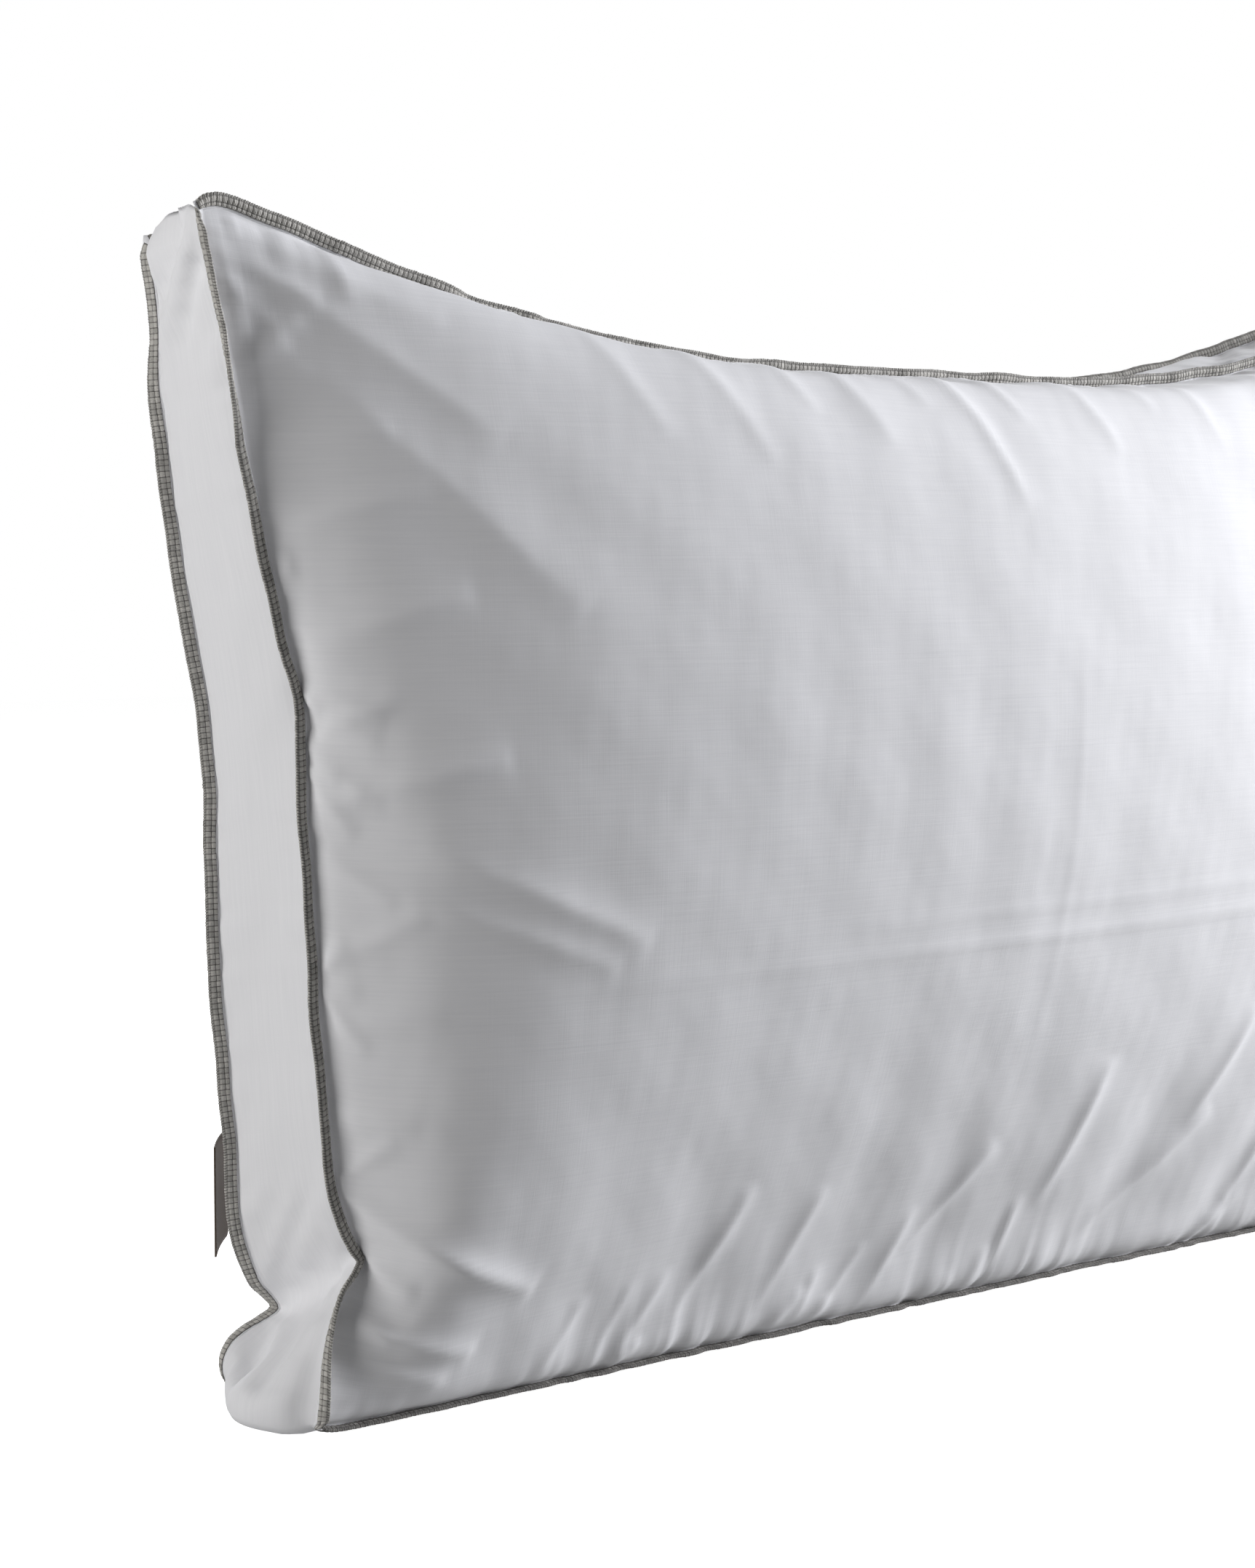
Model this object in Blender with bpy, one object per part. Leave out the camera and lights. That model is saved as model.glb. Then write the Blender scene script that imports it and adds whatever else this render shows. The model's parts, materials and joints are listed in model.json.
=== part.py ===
"""A gusseted bed pillow that stands on its long lower edge.

Metres, +Z up. +X runs along the pillow's length, the front panel faces -Y, and the origin is on the
ground under its middle. Two crowned panels are sewn to a gusset that runs all the way round. Panel and
gusset cloth turn outward at each seam into a flange, and four runs of overlock edging wrap each flange.
One filling body lies inside, and a label is caught in the rear seam.
"""

import math

import bpy
from mathutils import Vector

# Cut sizes of the cloth, seam to seam
PANEL_LENGTH = 0.800
PANEL_HEIGHT = 0.500
CORNER_RADIUS = 0.014
GUSSET_WIDTH = 0.065
CLOTH = 0.0006

# How the filled pillow draws its own outline in
CROWN = 0.095  # how far each panel swells past its seam
GUSSET_CROWN = 0.006
TOP_DIP = 0.055  # sag of the top edge between its corners
SIDE_DRAW = 0.050  # how far the ends stand inside the upper corners
SIDE_DRAW_FROM = 0.35  # share of the height where the ends start to flare out
PINCH_DEPTH = 0.013  # the fold across each end, just above the foot
PINCH_HEIGHT = 0.048
PINCH_SLANT = 0.014  # higher by this at the front seam, lower at the rear
PINCH_SPREAD = 0.016

# Seam flange and edging
FLANGE_WIDTH = 0.0072
SEAM_GAP = 0.0003  # between the two cloths of a flange, and between a cloth and its edging
EDGING_START = 0.0032
EDGING_WALL = 0.0005
EDGING_JOIN = 0.0006  # between one run's end and the next
FLANGE_TILT = math.radians(18)  # away from the gusset, where the flange stands free
FLANGE_FREE = 0.042  # the height where the flange, laid flat along the foot, stands free
FILL_GAP = 0.0004
FILL_SEAM_GAP = 0.0015

# Label
LABEL_LENGTH = 0.046
LABEL_HEIGHT = 0.047
LABEL_THICKNESS = 0.0012
LABEL_CORNER = 0.005
LABEL_LOW = 0.063
LABEL_SETBACK = 0.0026  # from the seam line to the label's root
LABEL_CLEARANCE = 0.0028

# Mesh density
LONG_STEPS = 15
SHORT_STEPS = 13
SHORT_BIAS = 1.4  # packs the short sides' stations toward the foot
ARC_STEPS = 4
RINGS = (1.0, 0.965, 0.91, 0.82, 0.66, 0.4)
GUSSET_COLUMNS = (0.0, 0.07, 0.5, 0.93, 1.0)

EDGING_INNER = SEAM_GAP / 2 + CLOTH + SEAM_GAP
EDGING_HALF = EDGING_INNER + EDGING_WALL
SEAM_LIFT = EDGING_HALF + 0.00015  # keeps the edging just clear of the ground
FRONT, REAR = -1, 1
UP = Vector((0, 0, 1))


def clear_scene():
    for obj in list(bpy.data.objects):
        bpy.data.objects.remove(obj, do_unlink=True)


def material(name, colour, roughness):
    made = bpy.data.materials.new(name)
    made.use_nodes = True
    shader = made.node_tree.nodes["Principled BSDF"]
    shader.inputs["Base Color"].default_value = (*colour, 1)
    shader.inputs["Roughness"].default_value = roughness
    shader.inputs["Metallic"].default_value = 0
    return made


def add_node(name, points, faces, look):
    """One closed mesh object, its faces split into triangles from their first corner."""
    triangles = []
    for face in faces:
        triangles += [(face[0], face[i], face[i + 1]) for i in range(1, len(face) - 1)]
    mesh = bpy.data.meshes.new(name)
    mesh.from_pydata([tuple(p) for p in points], [], triangles)
    mesh.materials.append(look)
    mesh.shade_smooth()
    mesh.set_sharp_from_angle(angle=math.radians(40))
    mesh.update()
    obj = bpy.data.objects.new(name, mesh)
    bpy.context.scene.collection.objects.link(obj)
    return obj


def flat_outline():
    """The cut panel's rounded rectangle as (along, up) points, and the middle of each corner's arc.

    It runs anticlockwise, seen from the front, from the lower left corner.
    """
    half, top, r = PANEL_LENGTH / 2, PANEL_HEIGHT, CORNER_RADIUS
    rise = [(i / SHORT_STEPS) ** SHORT_BIAS for i in range(SHORT_STEPS + 1)]
    run = [i / LONG_STEPS for i in range(LONG_STEPS + 1)]
    straight, tall = 2 * (half - r), top - 2 * r
    sides = (
        [(-half + r + straight * f, 0) for f in run],
        [(half, r + tall * f) for f in rise],
        [(half - r - straight * f, top) for f in run],
        [(-half, r + tall * f) for f in reversed(rise)],
    )
    centres = ((half - r, r), (half - r, top - r), (-half + r, top - r), (-half + r, r))
    points, corners = [], []
    for number, (side, centre) in enumerate(zip(sides, centres)):
        points += side
        start = math.pi / 2 * (number - 1)
        arc = [start + math.pi / 2 * i / ARC_STEPS for i in range(1, ARC_STEPS)]
        points += [(centre[0] + r * math.cos(a), centre[1] + r * math.sin(a)) for a in arc]
        corners.append(len(points) - ARC_STEPS // 2)
    return points, corners


def drawn_in(along, up, facing):
    """Where a point of the flat panel lies on the filled pillow, as (x, z)."""
    share = along / (PANEL_LENGTH / 2)
    level = up / PANEL_HEIGHT
    flare = max(0.0, (level - SIDE_DRAW_FROM) / (1 - SIDE_DRAW_FROM)) ** 1.5
    pinch_at = PINCH_HEIGHT - facing * PINCH_SLANT
    pinch = PINCH_DEPTH * math.exp(-(((up - pinch_at) / PINCH_SPREAD) ** 2) / 2)
    x = along - share * (SIDE_DRAW * (1 - flare) + pinch * abs(share) ** 3)
    z = SEAM_LIFT + up * (1 - TOP_DIP / PANEL_HEIGHT * (1 - abs(share) ** 2.6))
    return x, z


def swell(along, up):
    """How far the panel stands past its seam there."""
    share = abs(along) / (PANEL_LENGTH / 2)
    level = abs(2 * up / PANEL_HEIGHT - 1)
    return CROWN * (1 - share**3.4) ** 0.7 * (1 - level**2.2) ** 0.75


def panel_rings(outline, facing):
    """Rings of points on the panel's outer face, from the seam inward, and the middle point."""
    middle_up = PANEL_HEIGHT / 2
    rings = []
    for ring in RINGS:
        row = []
        for along, up in outline:
            along_in, up_in = along * ring, middle_up + (up - middle_up) * ring
            x, z = drawn_in(along_in, up_in, facing)
            depth = GUSSET_WIDTH / 2 + (swell(along_in, up_in) if ring < 1 else 0)
            row.append(Vector((x, facing * depth, z)))
        rings.append(row)
    x, z = drawn_in(0, middle_up, facing)
    return rings, Vector((x, facing * (GUSSET_WIDTH / 2 + CROWN), z))


def outward_at(rings, middle, ring, k, facing):
    """The panel's unit normal at one ring point, away from the filling."""
    row, count = rings[ring], len(rings[ring])
    inner = rings[ring + 1][k] if ring + 1 < len(rings) else middle
    normal = (row[(k + 1) % count] - row[k - 1]).cross(inner - rings[ring - 1][k])
    return normal.normalized() * (-1 if normal.y * facing < 0 else 1)


def seam_frames(seam, facing):
    """For each seam point: its place, the outline's outward direction, the flange's direction,
    the flange's panel side and how far the flange is laid flat, from 0 to 1.
    """
    frames, count = [], len(seam)
    for k, place in enumerate(seam):
        tangent = (seam[(k + 1) % count] - seam[k - 1]).normalized()
        out = Vector((tangent.z, 0, -tangent.x)).normalized()
        risen = min(1.0, (place.z - SEAM_LIFT) / FLANGE_FREE)
        laid = 1 - risen * risen * (3 - 2 * risen)
        tilt = FLANGE_TILT + (math.pi / 2 - FLANGE_TILT) * laid
        away = Vector((0, facing, 0))
        flange = out * math.cos(tilt) + away * math.sin(tilt)
        side = away * math.cos(tilt) - out * math.sin(tilt)
        frames.append((place, out, flange, side, laid))
    return frames


def band(first, second, count, flip):
    """Triangles between two closed rows of point numbers.

    Every cell is split from first[k] to second[k + 1], so that neighbouring skins stay parallel.
    """
    made = []
    for k in range(count):
        n = (k + 1) % count
        made += [(first + k, first + n, second + n), (first + k, second + n, second + k)]
    return [face[::-1] for face in made] if flip else made


def fan(row, middle, count, flip):
    """Triangles from a closed row to one middle point."""
    made = [(row + k, row + (k + 1) % count, middle) for k in range(count)]
    return [face[::-1] for face in made] if flip else made


def flange_rows(frames, side):
    """A flange cloth's rows from its tip to the seam.

    One row lies at the edging's mouth, so that cloth and edging stay parallel.
    """
    return [
        [place + flange * reach + panel_side * side for place, _, flange, panel_side, _ in frames]
        for reach in (FLANGE_WIDTH, EDGING_START, 0)
    ]


def build_panel(name, rings, middle, frames, facing, look):
    """A crowned sheet of cloth whose rim turns outward into the flange."""
    count, flip = len(frames), facing == REAR
    near, far = SEAM_GAP / 2 + CLOTH, SEAM_GAP / 2
    outer = flange_rows(frames, near)
    inner = flange_rows(frames, far)
    for ring in range(1, len(rings)):
        outer.append(rings[ring])
        inner.append(
            [
                rings[ring][k] - outward_at(rings, middle, ring, k, facing) * CLOTH
                for k in range(count)
            ]
        )
    points = [p for row in outer + inner for p in row]
    rows = len(outer)
    outer_middle = len(points)
    points += [middle, middle - Vector((0, facing * CLOTH, 0))]
    faces = []
    for row in range(rows - 1):
        faces += band(row * count, (row + 1) * count, count, flip)
        faces += band((rows + row) * count, (rows + row + 1) * count, count, not flip)
    faces += fan((rows - 1) * count, outer_middle, count, flip)
    faces += fan((2 * rows - 1) * count, outer_middle + 1, count, not flip)
    faces += band(rows * count, 0, count, flip)
    return add_node(name, points, faces, look)


def gusset_column(front, rear, share, inset):
    """Points across the gusset at one share of its width, set in from its outer face."""
    column = []
    for (start, out_a, _, _, laid), (end, out_b, _, _, _) in zip(front, rear):
        out = (out_a + out_b).normalized()
        swelled = GUSSET_CROWN * 4 * share * (1 - share) * (1 - laid) + SEAM_LIFT * laid
        column.append(start.lerp(end, share) + out * (swelled - inset))
    return column


def build_gusset(front, rear, look):
    """The strip between the seams, turned outward at both rims."""
    count = len(front)
    near, far = SEAM_GAP / 2 + CLOTH, SEAM_GAP / 2
    outer = flange_rows(front, -near)
    inner = flange_rows(front, -far)
    for share in GUSSET_COLUMNS[1:-1]:
        outer.append(gusset_column(front, rear, share, 0))
        inner.append(gusset_column(front, rear, share, CLOTH))
    outer += flange_rows(rear, -near)[::-1]
    inner += flange_rows(rear, -far)[::-1]
    points = [p for row in outer + inner for p in row]
    rows, faces = len(outer), []
    for row in range(rows - 1):
        first, second = row * count, (row + 1) * count
        if row < rows - 3:
            faces += band(first, second, count, True)
            faces += band(rows * count + first, rows * count + second, count, False)
        else:
            faces += band(second, first, count, False)
            faces += band(rows * count + second, rows * count + first, count, True)
    faces += band(0, rows * count, count, False)
    faces += band((rows - 1) * count, (2 * rows - 1) * count, count, True)
    return add_node("gusset", points, faces, look)


def build_filling(panels, front, rear, look):
    """The stuffed body inside the cloth."""
    count, inset = len(front), CLOTH + FILL_GAP
    points, faces, rims = [], [], []
    for (rings, middle), frames, facing in zip(panels, (front, rear), (FRONT, REAR)):
        rims.append(len(points))
        points += [p - f * FILL_SEAM_GAP for p, _, f, _, _ in frames]
        for ring in range(1, len(rings)):
            for k in range(count):
                out = outward_at(rings, middle, ring, k, facing)
                points.append(rings[ring][k] - out * inset)
            last = rims[-1] + ring * count
            faces += band(last - count, last, count, facing == REAR)
        faces += fan(last, len(points), count, facing == REAR)
        points.append(middle - Vector((0, facing * inset, 0)))
    row = rims[0]
    for share in GUSSET_COLUMNS[1:-1]:
        faces += band(row, len(points), count, True)
        row = len(points)
        points += gusset_column(front, rear, share, inset)
    faces += band(row, rims[1], count, True)
    return add_node("filling", points, faces, look)


def build_edging(name, frames, first, last, flip, look):
    """A sleeve round the flange from one station to another, open toward the seam."""
    reach = FLANGE_WIDTH + SEAM_GAP
    profile = (
        (EDGING_START, EDGING_HALF),
        (reach + EDGING_WALL, EDGING_HALF),
        (reach + EDGING_WALL, -EDGING_HALF),
        (EDGING_START, -EDGING_HALF),
        (EDGING_START, -EDGING_INNER),
        (reach, -EDGING_INNER),
        (reach, EDGING_INNER),
        (EDGING_START, EDGING_INNER),
    )
    stations = [frames[k % len(frames)] for k in range(first, last + 1)]
    trim = [Vector()] * len(stations)
    trim[0] = (stations[1][0] - stations[0][0]).normalized() * EDGING_JOIN / 2
    trim[-1] = (stations[-2][0] - stations[-1][0]).normalized() * EDGING_JOIN / 2
    points = []
    for (place, _, flange, side, _), shift in zip(stations, trim):
        points += [place + flange * d + side * s + shift for d, s in profile]
    size, faces = len(profile), []
    # Each wall as (its far corner, its near corner, whether the far one comes first round the profile)
    walls = (
        (1, 0, False), (1, 2, True), (2, 3, True), (3, 4, True),
        (5, 4, False), (5, 6, True), (6, 7, True), (0, 7, False),
    )  # fmt: skip
    for row in range(0, size * (len(stations) - 1), size):
        for far, near, ahead in walls:
            a, b, c, d = row + far, row + near, row + size + near, row + size + far
            made = [(a, b, c), (a, c, d)]
            faces += made if ahead != flip else [face[::-1] for face in made]
    for base, turned in ((0, flip), (size * (len(stations) - 1), not flip)):
        for wall in ((0, 7, 6, 1), (1, 6, 5, 2), (2, 5, 4, 3)):
            cap = tuple(base + corner for corner in wall)
            faces.append(cap[::-1] if turned else cap)
    return add_node(name, points, faces, look)


def label_root(rear_rings):
    """The middle of the label's root line, the way the label leaves it, and its outer side."""
    seam, next_ring = rear_rings[0], rear_rings[1]
    middle, top = LABEL_LOW + LABEL_HEIGHT / 2, LABEL_LOW + LABEL_HEIGHT
    left = [k for k, place in enumerate(seam) if place.x < 0 and place.z > CORNER_RADIUS]
    k = min(left, key=lambda i: abs(seam[i].z - top))
    leave = next_ring[k] - seam[k]
    leave = Vector((leave.x, leave.y, 0)).normalized()
    outside = Vector((-leave.y, leave.x, 0))
    place = Vector((seam[k].x, seam[k].y, middle))
    return place + leave * LABEL_SETBACK + outside * LABEL_CLEARANCE, leave, outside


def build_label(root, leave, outside, look):
    """A flat tab with its two free corners rounded, its origin on its root line."""
    half, steps = LABEL_HEIGHT / 2, 4
    outline = [(0, -half), (0, half)]
    centre_out, centre_up = LABEL_LENGTH - LABEL_CORNER, half - LABEL_CORNER
    for start, up in ((math.pi / 2, centre_up), (0.0, -centre_up)):
        for i in range(steps + 1):
            a = start - math.pi / 2 * i / steps
            outline.append(
                (centre_out + LABEL_CORNER * math.cos(a), up + LABEL_CORNER * math.sin(a))
            )
    count = len(outline)
    points = []
    for depth in (0, LABEL_THICKNESS):
        points += [leave * out + UP * up + outside * depth for out, up in outline]
    faces = [tuple(range(count - 1, -1, -1)), tuple(range(count, 2 * count))]
    faces += band(0, count, count, False)
    obj = add_node("label", points, faces, look)
    obj.location = root
    return obj


def build():
    clear_scene()
    percale = material("percale", (0.80, 0.81, 0.83), 0.85)
    thread = material("edging_thread", (0.30, 0.295, 0.28), 0.8)
    fibre = material("filling_fibre", (0.90, 0.90, 0.88), 0.95)
    label_cloth = material("label_cloth", (0.07, 0.055, 0.045), 0.7)

    outline, corners = flat_outline()
    panels = [panel_rings(outline, facing) for facing in (FRONT, REAR)]
    frames = [
        seam_frames(rings[0], facing) for (rings, _), facing in zip(panels, (FRONT, REAR))
    ]
    for name, facing, (rings, middle), side in zip(
        ("front", "rear"), (FRONT, REAR), panels, frames
    ):
        build_panel(f"{name}_panel", rings, middle, side, facing, percale)
        ends = [corners[3] - len(outline)] + corners
        for run, first, last in zip(("bottom", "right", "top", "left"), ends, ends[1:]):
            label = f"{name}_edging_{run}"
            build_edging(label, side, first, last, facing == REAR, thread)
    build_gusset(*frames, percale)
    build_filling(panels, *frames, fibre)
    build_label(*label_root(panels[1][0]), label_cloth)


build()
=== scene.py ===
"""A gusseted bed pillow in white percale, standing on its long lower edge.

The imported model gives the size, the places of the pieces and the bodies they ride on. The cover is
cut flat here, sewn along two drawn seams and filled by a pressure simulation. It is then split into
its front, its rear and its gusset, which turn outward at each seam into a flange, and gets its
small folds. Eight runs of overlock stitching wrap the flanges. Metres, +Z up, -Y is the front.
"""

import json
import math

import bpy
import numpy as np
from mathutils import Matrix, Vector


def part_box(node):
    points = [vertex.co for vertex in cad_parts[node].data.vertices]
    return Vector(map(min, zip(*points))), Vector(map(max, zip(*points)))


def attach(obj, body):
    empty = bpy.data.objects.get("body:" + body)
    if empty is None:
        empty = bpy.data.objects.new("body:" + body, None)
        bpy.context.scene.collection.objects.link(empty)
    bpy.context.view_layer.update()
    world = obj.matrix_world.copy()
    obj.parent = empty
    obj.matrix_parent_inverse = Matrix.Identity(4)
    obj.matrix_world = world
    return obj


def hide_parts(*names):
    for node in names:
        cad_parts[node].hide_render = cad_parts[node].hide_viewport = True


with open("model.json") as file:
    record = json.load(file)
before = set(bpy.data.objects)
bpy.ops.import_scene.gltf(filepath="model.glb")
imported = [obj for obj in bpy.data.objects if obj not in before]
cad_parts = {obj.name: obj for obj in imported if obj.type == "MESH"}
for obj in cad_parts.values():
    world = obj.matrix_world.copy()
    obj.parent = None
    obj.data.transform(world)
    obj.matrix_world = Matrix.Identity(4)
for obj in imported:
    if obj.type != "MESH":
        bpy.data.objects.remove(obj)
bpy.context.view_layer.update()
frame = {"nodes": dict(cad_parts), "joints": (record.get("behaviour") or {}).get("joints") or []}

# The cut of the cover, seam to seam
CUT_TOP = 0.812  # width at the top
# The cut's width at shares of its height. The belly takes up what the ends are drawn in by.
CUT_WIDTHS = (
    (0, 0.714), (0.12, 0.728), (0.28, 0.756), (0.5, 0.783), (0.7, 0.793), (0.85, 0.800), (1, CUT_TOP),
)  # fmt: skip
CUT_HEIGHT = 0.519
CUT_GUSSET = 0.069
CUT_FOOT = CUT_WIDTHS[0][1]
CUT_SHARES, CUT_SPANS = zip(*CUT_WIDTHS)
# How far the gusset's cut stands out at the foot and the upper corners, and over what height
FOOT_EASE, FOOT_EASE_HEIGHT = 0.020, 0.035
CORNER_EASE, CORNER_EASE_HEIGHT = 0.005, 0.07
CELL = 0.0085  # of the simulated cloth
CORNER_ROUNDING = (1, 3)  # smoothing passes at the corners of the foot and of the top
FINER = 3  # cells of the finished cloth along each simulated one
CLOTH = 0.0004

# How the filled cloth is finished
PANEL_PASSES, GUSSET_PASSES = 9, 8  # of easing
ROUNDED = 0.028  # how far in from an end seam the belly is rounded off
HALF_LENGTH = 0.39  # where the rounding leaves the belly as deep as it is
DRAWN_IN, DRAWN_GROWS, DRAWN_FADES = 0.013, 0.03, 0.12  # the panel drawn in beside its ends
HELD_REACH = 0.05  # how far in from a seam the panel is held down to it
HELD_PAST = 0.0006  # how far past its seam it may stand there
HELD_SOFTNESS = 0.0015
END_LEAN, TOP_LEAN = 0.12, 0.06  # how far it leans back from a seam as it swells
BULGE, BULGE_HEIGHT = 0.0045, 0.011  # of the belly over the flange that lies along the foot
OVER_FLANGE = 0.0030
PUCKER = 0.027  # depth of the gathers beside a seam as a share of their length
PUCKER_SIZES = (0.0075, 0.011, 0.016, 0.024)
PUCKER_REACH = 0.012  # of the gathers over the gusset
PANEL_WAVES = ((0.00030, 0.060, 31), (0.00004, 0.018, 41))  # height, length, seed
GUSSET_WAVE = (0.00016, 0.035, 51)
LOWEST = (0.0003, 0.0006)  # height of the filled cloth's lowest points, and softness of the turn there
RISE = 0.004  # over which the small folds grow, in from a seam

# The seams as they lie when the pillow is filled
SEAM_Y = 0.0325
FOOT = 0.0018
TOP_MIDDLE = 0.4435
TOP_CORNER = 0.5030
TOP_LEVEL = 0.08  # half the length over which the top edge is level
CORNER_X = 0.4040
CORNER_DROP = 0.003
REAR_CORNER = (0.3830, 0.0255, 0.4950)  # the left rear corner curls in behind the front one
SEAM_WAVE = 0.0002
SEAM_FREE = 0.05  # the height where a seam begins to waver
RIPPLES = ((23, 37, 53, 71), (19, 31, 47, 67))  # in one round of a seam: in its plane, and across it
SWELL = 0.095
SWELL_ALONG, SWELL_UP = (3.4, 0.7), (2.2, 0.75)  # powers of its falling off toward the seams
GUSSET_BOW = 0.006
UNDERSIDE = 0.03  # the height below which the gusset turns under the pillow
RUFFLE = 0.0006  # a slight unevenness, so that the cloth can buckle

# The seams at the left end, as (height, distance from the middle), from the foot up
FRONT_END = (
    (0.0018, 0.3510), (0.0160, 0.3490), (0.0360, 0.3440), (0.0560, 0.3350), (0.0690, 0.3230),
    (0.0830, 0.3300), (0.1030, 0.3365), (0.1400, 0.3410), (0.1900, 0.3450), (0.2400, 0.3485),
    (0.2850, 0.3500), (0.3060, 0.3520), (0.3330, 0.3605), (0.3790, 0.3710), (0.4130, 0.3796),
    (0.4460, 0.3880), (0.4760, 0.3950),
)  # fmt: skip
REAR_END = (
    (0.0018, 0.3440), (0.0090, 0.3480), (0.0200, 0.3470), (0.0280, 0.3400), (0.0370, 0.3210),
    (0.0500, 0.3310), (0.0740, 0.3400), (0.0980, 0.3426), (0.1390, 0.3450), (0.1820, 0.3495),
    (0.2320, 0.3510), (0.2650, 0.3512), (0.2890, 0.3530), (0.3250, 0.3600), (0.3640, 0.3670),
    (0.4090, 0.3735), (0.4390, 0.3765), (0.4700, 0.3780),
)  # fmt: skip
# The right end, which is drawn in more evenly
RIGHT_END = (
    (0.0018, 0.3500), (0.0300, 0.3420), (0.0700, 0.3440), (0.1500, 0.3480), (0.2500, 0.3515),
    (0.3200, 0.3590), (0.3800, 0.3700), (0.4300, 0.3825), (0.4700, 0.3925),
)  # fmt: skip

# The filling of the cover
FOOT_FREE = 7  # cells at each end of the foot that aren't held down
FRAMES = 40
DRAW_FRAMES = 20  # over which the seams close from the cut to their drawn shape
PRESSURE = 30
TENSION = 40
COMPRESSION = 10
BENDING = 0.3
POINT_MASS = 0.02
DAMPING = 0.5

# Flanges and the overlock stitching round them
FLANGE = 0.0052
FLANGE_TILT = math.radians(18)
FLANGE_FREE = 0.085  # the height where a flange, laid flat along the foot, stands free
CORNER_TURN = math.radians(62)  # how far the flanges turn over the panels below the upper left corner
TURN_STARTS, TURN_GROWS, TURN_ENDS, TURN_FADES = 0.405, 0.045, 0.4995, 0.012  # heights of that turn
FOOT_TURN = math.radians(26)  # how far the flanges turn over the panels beside the left end of the foot
PITCH = 0.00235
STITCH_START = 0.0007
STITCH_END = 0.0053
STITCH_HALF = 0.00068
STITCH_RELIEF = 0.00042

# The runs of stitching round a seam, and what the model calls the edging that each stands for
RUNS = (("foot", "bottom"), ("right_end", "right"), ("top", "top"), ("left_end", "left"))
RUN_GAP = 0.0006  # clear at each end of a run

LABEL_THICKNESS = 0.0008
LABEL_CORNER = 0.005
LABEL_BOW, LABEL_CURL = 0.0009, 0.0006
CORE_INSET = 0.0065
FRONT, REAR = -1, 1
rng = np.random.default_rng(7)


# ---------------- seams


def between(a, b, c, d, t):
    """The Catmull-Rom curve from b to c at shares t of the way, where a comes before and d after."""
    return 0.5 * (
        2 * b + (c - a) * t + (2 * a - 5 * b + 4 * c - d) * t**2 + (3 * b - a - 3 * c + d) * t**3
    )


def smooth_path(points, count):
    """A Catmull-Rom curve through the points, as count + 1 samples a constant distance apart."""
    p = np.array(points, float)
    q = np.vstack([2 * p[0] - p[1], p, 2 * p[-1] - p[-2]])
    steps = np.linspace(0, 1, 24, endpoint=False)[:, None]
    curve = np.vstack([between(*four, steps) for four in zip(q, q[1:], q[2:], q[3:])] + [p[-1:]])
    run = np.r_[0, np.cumsum(np.linalg.norm(np.diff(curve, axis=0), axis=1))]
    at = np.linspace(0, run[-1], count + 1)
    return np.stack([np.interp(at, run, curve[:, k]) for k in range(3)], 1)


def top_height(x):
    rise = np.clip((abs(x) - TOP_LEVEL) / (CORNER_X - TOP_LEVEL), 0, 1)
    return TOP_MIDDLE + (TOP_CORNER - TOP_MIDDLE) * rise**2


NX, NZ, NG = round(CUT_TOP / CELL), round(CUT_HEIGHT / CELL), round(CUT_GUSSET / CELL)
PANEL = (NX + 1) * (NZ + 1)
ROUND = 2 * (NX + NZ)


def seam_loop(facing):
    """One seam as a closed loop: along the foot, up the right, back along the top, down the left."""
    y = facing * SEAM_Y
    left = [(-x, y, z) for z, x in (FRONT_END if facing == FRONT else REAR_END)]
    right = [(x, y, z) for z, x in RIGHT_END]
    corner = (CORNER_X, y, float(top_height(CORNER_X)) - CORNER_DROP)
    top = [(x, y, float(top_height(x))) for x in np.linspace(CORNER_X, -CORNER_X, 19)]
    foot = [left[0], (-0.2, y, FOOT), (0, y, FOOT), (0.2, y, FOOT), right[0]]
    top[0] = corner
    if facing == REAR:
        top = top[:-3]
        top += [(-0.93 * REAR_CORNER[0], y, top[-1][2] + 0.004)]
        top += [(-REAR_CORNER[0], *REAR_CORNER[1:])]
    else:
        top[-1] = (-corner[0], y, corner[2])
    sides = ((foot, NX), (right + [corner], NZ), (top, NX), ([top[-1]] + left[::-1], NZ))
    loop = np.vstack([smooth_path(points, count)[:-1] for points, count in sides])
    corners = np.cumsum([0, NX, NZ, NX])
    for number, corner_at in enumerate(corners):
        for _ in range(CORNER_ROUNDING[number // 2]):
            for k in (corner_at - 1, corner_at, corner_at + 1):
                k %= ROUND
                loop[k] = 0.5 * loop[k] + 0.25 * (loop[k - 1] + loop[(k + 1) % ROUND])
    turn = np.arange(ROUND) / ROUND * 2 * math.pi
    in_plane, across = [sum(np.sin(n * turn + rng.uniform(0, 6.3)) for n in some) for some in RIPPLES]
    lifted = np.clip((loop[:, 2] - SEAM_FREE) / SEAM_FREE, 0, 1)
    loop += outline_out(loop) * (SEAM_WAVE * in_plane * lifted)[:, None]
    loop[:, 1] += SEAM_WAVE * 1.4 * across * lifted
    return loop


def outline_out(loop):
    """The outline's outward direction at each point of a seam, square to it and to Y."""
    along = np.roll(loop, -1, 0) - np.roll(loop, 1, 0)
    out = np.stack([along[:, 2], np.zeros(len(loop)), -along[:, 0]], 1)
    return out / np.linalg.norm(out, axis=1)[:, None]


# ---------------- the filled cover


def grid_index(i, j):
    return i * (NZ + 1) + j


ACROSS = np.linspace(0, 1, NX + 1)[:, None]
UPWARD = np.linspace(0, 1, NZ + 1)[None, :]
RIM = np.array(
    [grid_index(i, 0) for i in range(NX)]
    + [grid_index(NX, j) for j in range(NZ)]
    + [grid_index(i, NZ) for i in range(NX, 0, -1)]
    + [grid_index(0, j) for j in range(NZ, 0, -1)]
)


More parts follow.
